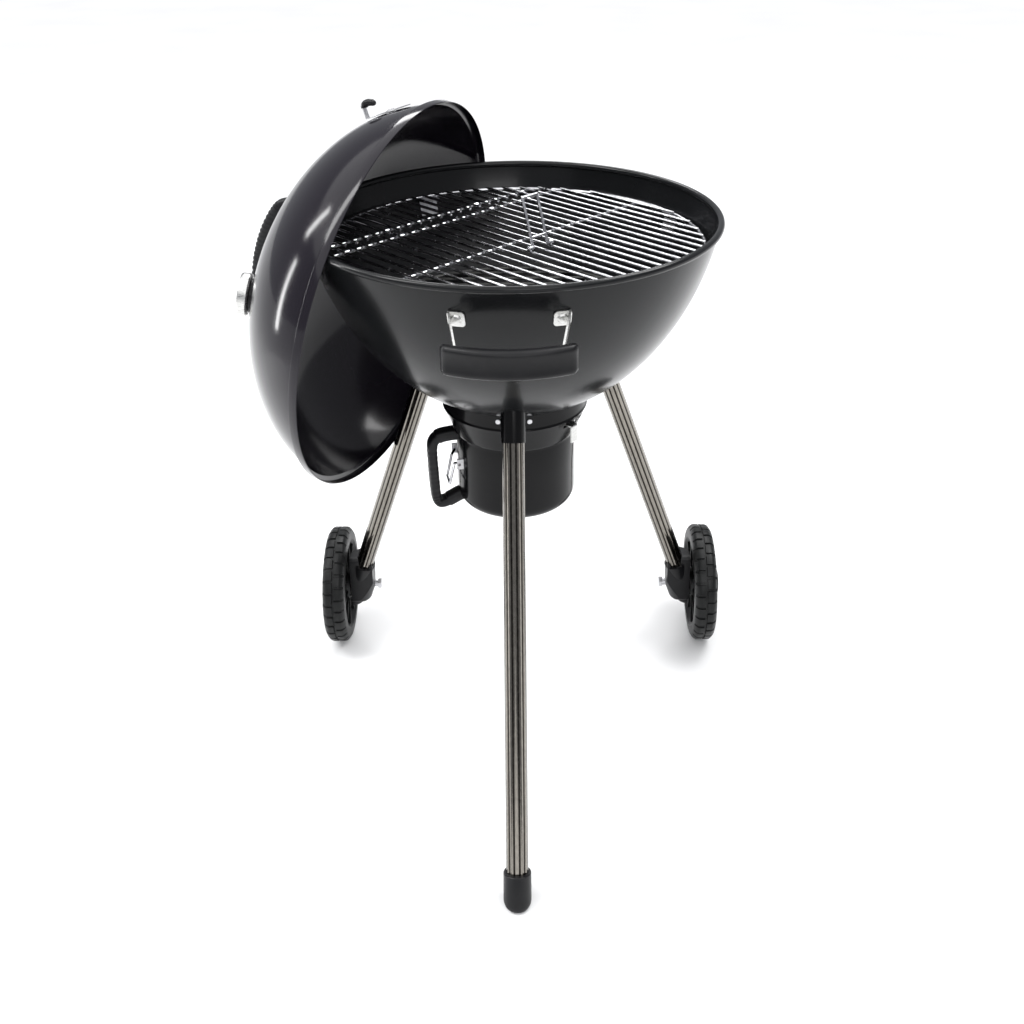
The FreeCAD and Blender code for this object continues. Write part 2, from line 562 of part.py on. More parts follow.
def make_lid():
    a2, b2 = LID_A - SHEET, LID_B - SHEET
    band = Part.makeCylinder(SKIRT_R, STEP_H + SHEET)
    dome = dome_solid(0, STEP_H + SHEET).fuse(band)
    dome = dome.cut(Part.makeCylinder(SKIRT_R - SHEET, STEP_H))
    dome = turned(dome.cut(dome_solid(-SHEET, STEP_H)), 50).toNurbs()
    cuts = []
    # handle: an arched bar on two feet along x
    pole = LID_CZ + LID_B
    far, near = 91.0, 66.0
    low = pole - 24
    outline = [line(V(-far, 0, low), V(-far, 0, pole + 40)),
               Part.Arc(V(-far, 0, pole + 40), V(0, 0, pole + 57), V(far, 0, pole + 40)).toShape(),
               line(V(far, 0, pole + 40), V(far, 0, low)), line(V(far, 0, low), V(near, 0, low)),
               line(V(near, 0, low), V(near, 0, pole + 24)),
               Part.Arc(V(near, 0, pole + 24), V(0, 0, pole + 36), V(-near, 0, pole + 24)).toShape(),
               line(V(-near, 0, pole + 24), V(-near, 0, low)), line(V(-near, 0, low), V(-far, 0, low))]
    handle = Part.Face(Part.Wire(outline)).extrude(V(0, 23, 0))
    handle.translate(V(0, -11.5, 0))
    tops = [e for e in handle.Edges if e.Length > 165]
    handle = handle.makeFillet(5, tops)
    handle = handle.cut(Part.makeSphere(LID_A ** 2 / LID_B, V(0, 0, pole - LID_A ** 2 / LID_B)))
    screws = []
    for x in (-78.5, 78.5):
        z_in = LID_CZ + b2 * math.sqrt(1 - (x / a2) ** 2)
        screw = fuse([Part.makeCylinder(2.5, 20, V(x, 0, z_in - 4)), Part.makeCylinder(6, 2.5, V(x, 0, z_in - 4.2))])
        screws.append(screw)
        cuts.append(Part.makeCylinder(2.6, 23, V(x, 0, z_in - 6)))
    handle = handle.cut(cuts)
    save("lid_handle", lid_place(handle))
    save("lid_handle_screws", lid_place(group(screws)))
    # vent: turning plate over three holes, held by a rivet
    spot, n, along = dome_spot(-10, 263.5, 0)
    for k in range(3):
        hole = Part.makeCylinder(8.0, 30, V(17, 0, -15))
        cuts.append(framed(turned(hole, 120 * k), spot, n, along))
    rivet_hole = Part.makeCylinder(3.03, 30, V(0, 0, -15))
    cuts.append(framed(rivet_hole, spot, n, along))
    plate = Part.makeCylinder(30, 1.2, V(0, 0, 0.5)).cut([turned(Part.makeCylinder(8.0, 10, V(17, 0, -5)), 120 * k)
                                                         for k in range(3)])
    ear = Part.makeBox(12, 10, 1.2, V(27, -5, 0.5))
    stem = Part.makeBox(1.6, 10, 22, V(37.4, -5, 0.5))
    plate = fuse([plate, ear, stem]).cut(Part.makeCylinder(3.05, 30, V(0, 0, -15)))
    save("vent_damper", lid_place(framed(plate, spot, n, along)))
    knob = Part.makeBox(30, 14, 16, V(13, -7, 12))
    knob = knob.makeFillet(5, [e for e in knob.Edges if e.Length < 15])
    knob = knob.cut(Part.makeBox(1.6, 10, 22, V(37.4, -5, 0.5)))
    save("vent_knob", lid_place(framed(knob, spot, n, along)))
    rivet = fuse([Part.makeCylinder(2.98, 8, V(0, 0, -4.5)), Part.makeCylinder(6, 1.6, V(0, 0, 2.0)),
                  Part.makeCylinder(6, 1.6, V(0, 0, -5.6))])
    save("vent_rivet", lid_place(framed(rivet, spot, n, along)))
    # thermometer
    spot, n, along = dome_spot(-105, 140, 0)
    cuts.append(framed(Part.makeCylinder(5.1, 40, V(0, 0, -20)), spot, n, along))
    base = Part.makeCylinder(24, 9, V(0, 0, -6)).cut(framed_back(dome_solid(0, 0), spot, n, along))
    base = base.cut(Part.makeCylinder(5.05, 40, V(0, 0, -20)))
    save("thermometer_base", lid_place(framed(base, spot, n, along)))
    case = spun_poly([(0, 3.2), (29, 3.2), (31, 6), (31, 17.5), (28.5, 19), (28.5, 7.5), (0, 7.5)])
    stem = Part.makeCylinder(5.0, 44, V(0, 0, -40))
    save("thermometer_case", lid_place(framed(fuse([case, stem]), spot, n, along)))
    dial = Part.makeCylinder(28.3, 1.2, V(0, 0, 7.5)).cut(Part.makeCylinder(1.6, 5, V(0, 0, 6.5)))
    save("thermometer_dial", lid_place(framed(dial, spot, n, along)))
    needle = fuse([Part.makeBox(24, 1.6, 0.8, V(-5, -0.8, 10.5)), Part.makeCylinder(3, 1.6, V(0, 0, 10.1)),
                   Part.makeCylinder(1.5, 3.0, V(0, 0, 7.7))])
    save("thermometer_needle", lid_place(framed(needle, spot, n, along)))
    lens = Part.makeCylinder(28.3, 1.6, V(0, 0, 15.0))
    save("thermometer_lens", lid_place(framed(lens, spot, n, along)))
    nut = hexagon(11, 6).cut(Part.makeCylinder(5.05, 30, V(0, 0, -10)))
    nut.translate(V(0, 0, -8.2))
    save("thermometer_nut", lid_place(framed(nut, spot, n, along)))
    save("lid_dome", lid_place(dome.cut(cuts)))


def framed_back(shape, origin, zdir, xdir):
    # the inverse of framed
    z = V(zdir).normalize()
    x = V(xdir) - z * z.dot(xdir)
    x.normalize()
    y = z.cross(x)
    m = FreeCAD.Matrix(x.x, x.y, x.z, -x.dot(origin), y.x, y.y, y.z, -y.dot(origin),
                       z.x, z.y, z.z, -z.dot(origin), 0, 0, 0, 1)
    out = shape.copy()
    out.transformShape(m)
    return out


def make_hook():
    # bent strip inside the lid that drops over the bowl's rim on the left
    out = V(-LID_OPENS.x, -LID_OPENS.y, 0)
    out.normalize()
    side = V(0, 0, 1).cross(out)
    pts = [(272, 0, 828), (274.5, 0, 828), (276.5, 0, 843.5), (279, 0, 846.4), (340, 0, 846.4), (340, 0, 849),
           (277, 0, 849), (274, 0, 846)]
    strip = poly(pts).extrude(V(0, 20, 0))
    strip.translate(V(0, -10, 0))
    strip = framed(strip, V(0, 0, 0), V(0, 0, 1), out)
    inner = lid_place(dome_solid(-SHEET, STEP_H))
    save("lid_hook", strip.common(inner))


make_bowl()
make_grate_supports()
make_legs()
make_front_cap()
make_rear_caps()
make_wheels()
make_front_handle()
make_collar()
make_cleaner()
make_bucket()
make_cooking_grate()
make_charcoal_grate()
make_lid()
make_hook()
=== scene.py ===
import json
import math

import bmesh
import bpy
from mathutils import Matrix, Vector


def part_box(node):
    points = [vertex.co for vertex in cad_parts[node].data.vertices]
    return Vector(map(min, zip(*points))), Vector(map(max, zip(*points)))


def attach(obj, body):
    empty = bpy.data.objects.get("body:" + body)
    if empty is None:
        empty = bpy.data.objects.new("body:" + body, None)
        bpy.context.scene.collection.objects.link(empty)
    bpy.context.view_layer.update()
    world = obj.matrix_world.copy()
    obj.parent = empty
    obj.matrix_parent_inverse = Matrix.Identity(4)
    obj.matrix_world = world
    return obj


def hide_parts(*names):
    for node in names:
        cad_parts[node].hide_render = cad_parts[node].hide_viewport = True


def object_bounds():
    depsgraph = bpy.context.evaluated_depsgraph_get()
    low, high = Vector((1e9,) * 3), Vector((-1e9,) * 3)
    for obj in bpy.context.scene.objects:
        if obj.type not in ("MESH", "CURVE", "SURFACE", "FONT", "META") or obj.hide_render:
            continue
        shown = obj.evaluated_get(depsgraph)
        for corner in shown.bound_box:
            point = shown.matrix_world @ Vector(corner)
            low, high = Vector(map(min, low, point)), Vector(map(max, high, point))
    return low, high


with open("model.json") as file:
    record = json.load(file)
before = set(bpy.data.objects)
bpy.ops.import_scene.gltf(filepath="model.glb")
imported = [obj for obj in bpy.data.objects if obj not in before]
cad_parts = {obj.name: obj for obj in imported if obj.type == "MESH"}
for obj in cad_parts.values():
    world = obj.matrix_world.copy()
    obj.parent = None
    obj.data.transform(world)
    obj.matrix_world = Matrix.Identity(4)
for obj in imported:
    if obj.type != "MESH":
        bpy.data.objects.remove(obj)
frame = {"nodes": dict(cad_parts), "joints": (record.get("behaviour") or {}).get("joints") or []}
CAD_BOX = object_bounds()
NODES = frame["nodes"]
JOINTS = {j["name"]: j for j in frame["joints"]}
MM = 0.001
TAU = 2 * math.pi

# Driving dimensions in metres. A piece's own outline is in millimetres in its function.
BOWL_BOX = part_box("bowl")
BEAD = 5.0 * MM
RIM_R = BOWL_BOX[1].x - BEAD
RIM_Z = BOWL_BOX[1].z - BEAD
SHEET = 1.2 * MM
# The bowl and the dome are half ellipses: half width, half height, height of the centre.
BOWL_A, BOWL_B, BOWL_CZ = 295.4 * MM, 374.2 * MM, RIM_Z + 93.8 * MM
LID_A, LID_B, LID_CZ = 292.3 * MM, 223.6 * MM, -30.5 * MM
LID_POLE = LID_CZ + LID_B
LID_STEP = 12.0 * MM
SKIRT_R = 293.2 * MM
LID_CENTRE = Vector((-166.2, 64.3, 700.1)) * MM
LID_OPENS = Vector((0.9123, -0.3540, -0.2061)).normalized()
LID_UP = Vector((0.1921, -0.0745, 0.9785)).normalized()
LID_SPIN = math.radians(14.0)
# Places on the dome: azimuth in degrees, distance from the dome's axis.
VENT_SPOT = (-10, 263.5 * MM)
GAUGE_SPOT = (-105, 140 * MM)
LEG_R, LEG_WALL = 15.0 * MM, 1.5 * MM
LEG_TOP_R, LEG_TOP_Z = 159.3 * MM, 591.0 * MM
TUBE_TOP = 604.0 * MM
# Azimuth, run outward for each unit of drop, height of the tube's lower end.
LEGS = {
    "front_leg": (math.radians(-90.0), 0.418, 26.0 * MM),
    "rear_right_leg": (math.radians(36.0), 0.401, 128.0 * MM),
    "rear_left_leg": (math.radians(144.0), 0.401, 128.0 * MM),
}
BUCKET_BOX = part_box("ash_bucket")
BUCKET_R = BUCKET_BOX[1].x
BUCKET_LOW, BUCKET_TOP = BUCKET_BOX[0].z, BUCKET_BOX[1].z
HANDLE_TURN = Matrix.Rotation(math.radians(192.0), 4, "Z")
WHEEL_R = 100.3 * MM
WHEEL_HALF = 19.0 * MM
ACROSS = Vector((0, 1, 0))


# ---- mesh helpers -------------------------------------------------------------------------

def turn_about(origin, zdir, xdir):
    """Matrix that puts a piece made about its own origin where the object has it."""
    z = zdir.normalized()
    x = (xdir - z * z.dot(xdir)).normalized()
    y = z.cross(x)
    return Matrix(((x.x, y.x, z.x, origin.x), (x.y, y.y, z.y, origin.y),
                   (x.z, y.z, z.z, origin.z), (0, 0, 0, 1)))


def polar(r, angle, z):
    return (r * math.cos(angle), r * math.sin(angle), z)


def signed_power(value, exponent):
    """A cosine or sine bent toward a rounded rectangle."""
    return math.copysign(abs(value) ** exponent, value)


def new_object(name, data):
    obj = bpy.data.objects.new(name, data)
    bpy.context.scene.collection.objects.link(obj)
    return obj


def mesh_from(bm, name):
    mesh = bpy.data.meshes.new(name)
    bm.to_mesh(mesh)
    bm.free()
    return mesh


def piece(name, bm, body, material, nodes=(), place=None, sharp=32.0):
    """Turns a bmesh into a piece that rides on a body and stands for CAD nodes."""
    if place is not None:
        bm.transform(place)
    bmesh.ops.remove_doubles(bm, verts=bm.verts, dist=1e-7)
    bmesh.ops.recalc_face_normals(bm, faces=bm.faces)
    mesh = mesh_from(bm, name)
    mesh.polygons.foreach_set("use_smooth", [True] * len(mesh.polygons))
    mesh.set_sharp_from_angle(angle=math.radians(sharp))
    mesh.materials.append(material)
    obj = new_object(name, mesh)
    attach(obj, body)
    if nodes:
        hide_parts(*nodes)
    return obj


def lathe(profile, segs=160, radius=None, angles=None):
    """Spins a closed outline of (r, z) about Z. radius(angle, r, z) may change r."""
    bm = bmesh.new()
    angles = angles or [TAU * k / segs for k in range(segs)]
    rings = []
    for r, z in profile:
        if r < 1e-7:
            rings.append([bm.verts.new((0, 0, z))])
        else:
            rings.append([bm.verts.new(polar(radius(a, r, z) if radius else r, a, z))
                          for a in angles])
    skin(bm, rings, wrap=True)
    return bm


def skin(bm, rings, wrap=False, caps=False):
    """Faces between neighbouring rings of vertices."""
    for a, b in zip(rings, rings[1:] + ([rings[0]] if wrap else [])):
        if len(a) == 1 and len(b) == 1:
            continue
        for k in range(max(len(a), len(b))):
            quad = [a[k % len(a)], a[(k + 1) % len(a)], b[(k + 1) % len(b)], b[k % len(b)]]
            unique = list(dict.fromkeys(quad))
            if len(unique) > 2:
                bm.faces.new(unique)
    if caps:
        bm.faces.new(rings[0])
        bm.faces.new(list(reversed(rings[-1])))


def arc(cx, cy, r, a0, a1, n):
    """Points on a circle in the (r, z) plane, angles in degrees."""
    out = []
    for k in range(n + 1):
        a = math.radians(a0 + (a1 - a0) * k / n)
        out.append((cx + r * math.cos(a), cy + r * math.sin(a)))
    return out


def smooth_path(points, steps):
    """A Catmull-Rom line through the points."""
    pts = [Vector(p) for p in points]
    ext = [pts[0] * 2 - pts[1]] + pts + [pts[-1] * 2 - pts[-2]]
    out = []
    for i in range(1, len(ext) - 2):
        p0, p1, p2, p3 = ext[i - 1:i + 3]
        for k in range(steps):
            t = k / steps
            out.append(0.5 * (p1 * 2 + (p2 - p0) * t + (p0 * 2 - p1 * 5 + p2 * 4 - p3) * t * t
                              + (p1 * 3 - p0 - p2 * 3 + p3) * t ** 3))
    out.append(pts[-1])
    return out


def sweep(path, size, around, power):
    """Sweeps a rounded section along a path in the XZ plane.

    size(t) gives the half width across and the half height. A power of 2 is an ellipse.
    """
    bm = bmesh.new()
    rings = []
    n = len(path)
    for i, p in enumerate(path):
        tangent = (path[min(i + 1, n - 1)] - path[max(i - 1, 0)]).normalized()
        u = (ACROSS - tangent * tangent.dot(ACROSS)).normalized()
        v = tangent.cross(u)
        a, b = size(i / (n - 1))
        ring = []
        for k in range(around):
            w = TAU * k / around
            x = a * signed_power(math.cos(w), 2 / power)
            y = b * signed_power(math.sin(w), 2 / power)
            ring.append(bm.verts.new(p + u * x + v * y))
        rings.append(ring)
    skin(bm, rings, caps=True)
    return bm


def box_bm(bm, lo, hi):
    made = bmesh.ops.create_cube(bm, size=1.0)["verts"]
    size = Vector(hi) - Vector(lo)
    mid = (Vector(hi) + Vector(lo)) / 2
    for v in made:
        v.co = Vector((v.co.x * size.x, v.co.y * size.y, v.co.z * size.z)) + mid
    return made


def spin_verts(bm, verts, degrees):
    bmesh.ops.rotate(bm, verts=verts, cent=(0, 0, 0),
                     matrix=Matrix.Rotation(math.radians(degrees), 3, "Z"))


def carve(obj, bm):
    """Cuts a bmesh's shape out of a piece for good."""
    cutter = new_object("cutter", mesh_from(bm, "cutter"))
    mod = obj.modifiers.new("cut", "BOOLEAN")
    mod.object = cutter
    mod.solver = "EXACT"
    graph = bpy.context.evaluated_depsgraph_get()
    made = bpy.data.meshes.new_from_object(obj.evaluated_get(graph))
    obj.modifiers.clear()
    obj.data = made
    bpy.data.objects.remove(cutter)


# ---- materials ------------------------------------------------------------------------------

class Mat:
    """A node material with a short way to add texture nodes."""

    def __init__(self, name, color, rough, metal=0.0, **sockets):
        self.m = bpy.data.materials.new(name)
        self.m.use_nodes = True
        self.t = self.m.node_tree
        self.b = self.t.nodes["Principled BSDF"]
        self.b.inputs["Base Color"].default_value = (*color, 1)
        self.b.inputs["Roughness"].default_value = rough
        self.b.inputs["Metallic"].default_value = metal
        for key, value in sockets.items():
            self.b.inputs[key.replace("_", " ")].default_value = value
        self.coord = self.t.nodes.new("ShaderNodeTexCoord").outputs["Object"]
        self.bumps = None

    def link(self, a, b):
        self.t.links.new(a, b)

    def mapped(self, stretch):
        node = self.t.nodes.new("ShaderNodeMapping")
        node.inputs["Scale"].default_value = stretch
        self.link(self.coord, node.inputs["Vector"])
        return node.outputs["Vector"]

    def noise(self, scale, detail, stretch=None, rough=0.5):
        node = self.t.nodes.new("ShaderNodeTexNoise")
        node.inputs["Scale"].default_value = scale
        node.inputs["Detail"].default_value = detail
        node.inputs["Roughness"].default_value = rough
        self.link(self.mapped(stretch) if stretch else self.coord, node.inputs["Vector"])
        return node.outputs["Fac"]

    def color(self, fac, low, high, dark, light):
        """Base colour from dark where fac is low to light where it is high."""
        node = self.t.nodes.new("ShaderNodeValToRGB")
        for element, at, shade in zip(node.color_ramp.elements, (low, high), (dark, light)):
            element.position = at
            element.color = (*shade, 1)
        self.link(fac, node.inputs["Fac"])
        self.link(node.outputs["Color"], self.b.inputs["Base Color"])

    def roughness(self, fac, low, high):
        node = self.t.nodes.new("ShaderNodeMapRange")
        node.inputs["To Min"].default_value = low
        node.inputs["To Max"].default_value = high
        node.inputs["From Min"].default_value = 0.3
        node.inputs["From Max"].default_value = 0.7
        self.link(fac, node.inputs["Value"])
        self.link(node.outputs["Result"], self.b.inputs["Roughness"])

    def bump(self, fac, strength, distance):
        """Adds a bump over the ones made before."""
        node = self.t.nodes.new("ShaderNodeBump")
        node.inputs["Strength"].default_value = strength
        node.inputs["Distance"].default_value = distance
        self.link(fac, node.inputs["Height"])
        if self.bumps:
            self.link(self.bumps, node.inputs["Normal"])
        self.bumps = node.outputs["Normal"]
        self.link(self.bumps, self.b.inputs["Normal"])


def enamel(name, dark, light, rough, shine=0.26):
    mat = Mat(name, dark, rough, Specular_IOR_Level=shine, Coat_Weight=0.08, Coat_Roughness=0.06)
    mat.color(mat.noise(scale=3.0, detail=4), 0.35, 0.7, dark, light)
    mat.roughness(mat.noise(scale=9.0, detail=5), rough * 0.8, rough * 1.25)
    mat.bump(mat.noise(scale=4.5, detail=2), strength=0.22, distance=0.004)
    mat.bump(mat.noise(scale=420.0, detail=2), strength=0.06, distance=0.0004)
    return mat.m


def steel(name, dark, light, rough, stretch, scale=18.0):
    mat = Mat(name, light, rough, metal=1.0)
    grain = mat.noise(scale, detail=6, stretch=stretch, rough=0.6)
    mat.color(grain, 0.3, 0.7, dark, light)
    mat.roughness(grain, rough * 0.75, rough * 1.3)
    mat.bump(grain, strength=0.05, distance=0.0004)
    return mat.m


def plastic(name, dark, light, rough, grain=900.0, depth=0.18):
    mat = Mat(name, dark, rough, Specular_IOR_Level=0.25)
    mat.color(mat.noise(scale=30.0, detail=5), 0.35, 0.7, dark, light)
    mat.roughness(mat.noise(scale=14.0, detail=4), rough * 0.85, rough * 1.2)
    mat.bump(mat.noise(grain, detail=3), strength=depth, distance=0.0003)
    return mat.m


def wire_metal(name):
    mat = Mat(name, (0.78, 0.78, 0.8), 0.16, metal=1.0)
    mat.color(mat.noise(scale=40.0, detail=4), 0.3, 0.7, (0.4, 0.4, 0.42), (0.72, 0.72, 0.74))
    mat.roughness(mat.noise(scale=90.0, detail=4), 0.1, 0.28)
    mat.bump(mat.noise(scale=700.0, detail=2), strength=0.08, distance=0.0003)
    return mat.m


def floor_material():
    mat = Mat("floor_pale", (0.9, 0.9, 0.9), 0.75)
    mat.color(mat.noise(scale=2.0, detail=4), 0.3, 0.7, (0.86, 0.86, 0.86), (0.9, 0.9, 0.9))
    mat.bump(mat.noise(scale=60.0, detail=3), strength=0.03, distance=0.001)
    return mat.m


def lens_material():
    mat = Mat("clear_lens", (0.95, 0.97, 0.97), 0.03, Transmission_Weight=1.0, IOR=1.3)
    mat.roughness(mat.noise(scale=20.0, detail=3), 0.02, 0.06)
    return mat.m


BOWL_BLACK = enamel("bowl_enamel", (0.006, 0.0065, 0.007), (0.009, 0.0095, 0.0105), 0.2, 0.2)
LID_BLACK = enamel("lid_enamel", (0.007, 0.006, 0.009), (0.011, 0.009, 0.014), 0.13)
BUCKET_BLACK = enamel("bucket_enamel", (0.003, 0.003, 0.0035), (0.005, 0.005, 0.0055), 0.16, 0.13)
LEG_GRAIN = (120, 120, 0.4)
LEG_STEEL = steel("leg_steel", (0.2, 0.186, 0.165), (0.29, 0.27, 0.24), 0.08, LEG_GRAIN, 3.0)
# Painted shade: a dark copy of the leg steel for the flute faces, in place of dark reflections.
FLUTE_PAINTED_SHADE = steel("flute_painted_shade", (0.018, 0.016, 0.014), (0.035, 0.032, 0.028), 0.25,
                     LEG_GRAIN, 3.0)
PLATE_STEEL = steel("plate_steel", (0.5, 0.5, 0.49), (0.75, 0.75, 0.73), 0.3, (8, 8, 60))
ZINC = steel("zinc_plate", (0.45, 0.45, 0.46), (0.66, 0.66, 0.68), 0.32, (20, 20, 20))
ALU = steel("vent_aluminium", (0.55, 0.55, 0.56), (0.72, 0.72, 0.73), 0.35, (30, 30, 30))
WIRE = wire_metal("plated_wire")
COAL_WIRE = steel("coal_grate_steel", (0.06, 0.06, 0.06), (0.12, 0.12, 0.115), 0.42, (25, 25, 25))
PLASTIC = plastic("black_plastic", (0.005, 0.005, 0.006), (0.009, 0.009, 0.010), 0.36)
WHEEL_PLASTIC = plastic("wheel_plastic", (0.004, 0.0045, 0.0045), (0.008, 0.0085, 0.0085), 0.42,
                        600.0, 0.3)
DIAL = plastic("dial_face", (0.74, 0.74, 0.7), (0.82, 0.82, 0.79), 0.45, 400.0, 0.05)
MARKS = plastic("dial_marks", (0.02, 0.02, 0.02), (0.03, 0.03, 0.03), 0.5)
RED = plastic("needle_paint", (0.4, 0.02, 0.015), (0.5, 0.03, 0.02), 0.4)
LENS = lens_material()


# ---- bowl -----------------------------------------------------------------------------------

def bowl_point(phi, inset=0.0):
    return ((BOWL_A - inset) * math.sin(phi), BOWL_CZ - (BOWL_B - inset) * math.cos(phi))


def make_bowl():
    """Enamelled shell with a rolled rim and three vent windows in the bottom."""
    segs, steps = 240, 66
    phi_rim = math.asin(RIM_R / BOWL_A)
    phis = [phi_rim * k / steps for k in range(1, steps + 1)]
    windows = [math.radians(60 + 120 * k) for k in range(3)]
    window_low, window_high, window_half = 34 * MM, 88 * MM, math.radians(13)

    def open_cell(i, k):
        r = bowl_point((phis[i] + phis[i + 1]) / 2)[0]
        a = TAU * (k + 0.5) / segs
        near = min(abs((a - w + math.pi) % TAU - math.pi) for w in windows)
        return window_low < r < window_high and near < window_half

    bm = bmesh.new()

    def ring_at(r, z):
        return [bm.verts.new(polar(r, TAU * k / segs, z)) for k in range(segs)]

    grid = []
    for inset in (0.0, SHEET):
        rings = [ring_at(*bowl_point(phi, inset)) for phi in phis]
        pole = bm.verts.new((0, 0, bowl_point(0, inset)[1]))
        for k in range(segs):
            bm.faces.new((pole, rings[0][k], rings[0][(k + 1) % segs]))
        grid.append(rings)
    outer, inner = grid
    for i in range(len(phis) - 1):
        for k in range(segs):
            j = (k + 1) % segs
            if not open_cell(i, k):
                for rings in grid:
                    bm.faces.new((rings[i][k], rings[i][j], rings[i + 1][j], rings[i + 1][k]))
                continue
            edges = (((i, k), (i, j), i > 0 and not open_cell(i - 1, k)),
                     ((i + 1, k), (i + 1, j), not open_cell(i + 1, k)),
                     ((i, k), (i + 1, k), not open_cell(i, (k - 1) % segs)),
                     ((i, j), (i + 1, j), not open_cell(i, j)))
            for a, b, wall in edges:
                if wall:
                    bm.faces.new((outer[a[0]][a[1]], outer[b[0]][b[1]],
                                  inner[b[0]][b[1]], inner[a[0]][a[1]]))
    bead = [ring_at(r, z) for r, z in arc(RIM_R, RIM_Z, BEAD, -80, 250, 20)]
    skin(bm, [outer[-1]] + bead + [inner[-1]])
    piece("bowl_shell", bm, "stand", BOWL_BLACK, ["bowl"])


def make_collar():
    """Flared band under the bowl with a long slot for the lever."""
    outer = [(105.0, 584.9), (105.0, 566.0), (105.2, 564.2), (106.1, 562.8), (106.4, 561.9),
             (105.9, 560.8), (105.2, 559.4), (97.7, 541.0), (90.8, 524.3), (90.1, 522.6),
             (89.6, 522.1), (88.9, 522.3)]
    inner = [(89.0, 523.0), (96.5, 541.4), (104.2, 560.2), (104.0, 563.0), (103.8, 566.0),
             (103.8, 584.2)]
    profile = [(r * MM, z * MM) for r, z in outer + inner]
    collar = piece("collar_shell", lathe(profile), "stand", BUCKET_BLACK, ["ash_collar"], sharp=40)
    slot_from, slot_span, steps = -47, 74, 20
    near, far, low, high = 90.0 * MM, 125.0 * MM, 550.2 * MM, 556.4 * MM
    slot = bmesh.new()
    rings = []
    for k in range(steps + 1):
        a = math.radians(slot_from + slot_span * k / steps)
        rings.append([slot.verts.new(polar(r, a, z))
                      for r, z in ((near, low), (far, low), (far, high), (near, high))])
    skin(slot, rings, caps=True)
    bmesh.ops.recalc_face_normals(slot, faces=slot.faces)
    carve(collar, slot)


def make_bucket():
    """Pressed bucket with a rounded bottom edge, a bead line and a rolled lip."""
    r, low, top, m = BUCKET_R, BUCKET_LOW, BUCKET_TOP, MM
    wall, corner, lip = 1.0 * m, 20 * m, 1.2 * m
    profile = [(0, low)] + arc(r - corner, low + corner, corner, -90, 0, 12)
    profile += [(r, low + 30 * m), (r, low + 70 * m), (r, top - 34 * m), (r - 0.5 * m, top - 32 * m),
                (r, top - 30 * m), (r, top - 2 * m)]
    profile += arc(r - lip, top - lip, lip, 0, 180, 6)
    profile += [(r - 2 * lip, top - 4 * m), (r - wall, top - 6 * m), (r - wall, low + corner)]
    profile += arc(r - corner, low + corner, corner - wall, 0, -90, 12)[1:] + [(0, low + wall)]
    piece("bucket_shell", lathe(profile), "ash_catcher", BUCKET_BLACK, ["ash_bucket"])


# ---- legs, feet, wheels ---------------------------------------------------------------------

def leg_point(az, slope, z):
    return Vector(polar(LEG_TOP_R + slope * (LEG_TOP_Z - z), az, z))


def make_legs():
    """Fluted steel tubes, open inside, with painted shade: dark steel faces in the flutes."""
    flutes, depth, around = 12, 0.8 * MM, 192
    roundness, painted_shade_from = 0.7, 0.8
    for name, (az, slope, low) in LEGS.items():
        a, b = leg_point(az, slope, TUBE_TOP), leg_point(az, slope, low)
        place = turn_about(a, b - a, Vector((-math.sin(az), math.cos(az), 0)))
        length = (b - a).length
        bm = bmesh.new()
        rings = []
        for r, z, fluted in ((LEG_R, 0, 1), (LEG_R, length, 1),
                             (LEG_R - LEG_WALL, length, 0), (LEG_R - LEG_WALL, 0, 0)):
            ring = []
            for k in range(around):
                w = TAU * k / around
                cut = fluted * depth * abs(math.sin(flutes * w / 2)) ** roundness
                ring.append(bm.verts.new(polar(r - cut, w, z)))
            rings.append(ring)
        skin(bm, rings, wrap=True)
        tube = piece(name + "_tube", bm, "stand", LEG_STEEL, [name], place, sharp=50)
        # Faces deep in the flutes take the painted-shade steel, standing in for the flutes' dark
        # reflections.
        tube.data.materials.append(FLUTE_PAINTED_SHADE)
        for poly in tube.data.polygons[:around]:
            groove = abs(math.sin(flutes * math.pi * (poly.index + 0.5) / around))
            poly.material_index = 1 if groove > painted_shade_from else 0


def make_foot():
    """Moulded cap on the front leg: flat on the ground, in line with the leg above it."""
    az, slope = LEGS["front_leg"][:2]
    out = Vector(polar(1, az, 0))
    side = Vector((-out.y, out.x, 0))
    heights = [0, 0.8, 2, 3.5, 5.5, 8, 12, 20, 30, 38, 41, 42]
    half, oval, edge, around = 19.0, 1.04, 8.0, 48
    top_edge, top_shrink, level_below, tilt = 41.5, 0.8, 30.0, 0.9
    bm = bmesh.new()
    rings = []
    for h in heights:
        shrink = 0.0
        if h < edge:
            shrink = edge * (1 - math.sqrt(1 - ((edge - h) / edge) ** 2))
        if h > top_edge:
            shrink = top_shrink
        lift = min(1.0, h / level_below)
        ring = []
        for k in range(around):
            w = TAU * k / around
            a = (half - shrink) * math.cos(w)
            b = (half - shrink) * oval * math.sin(w)
            p = leg_point(az, slope, h * MM) + side * a * MM + out * b * MM
            p.z += slope * b * MM * lift * tilt
            ring.append(bm.verts.new(p))
        rings.append(ring)
    skin(bm, rings, caps=True)
    piece("front_foot", bm, "stand", PLASTIC, ["front_foot_cap"])


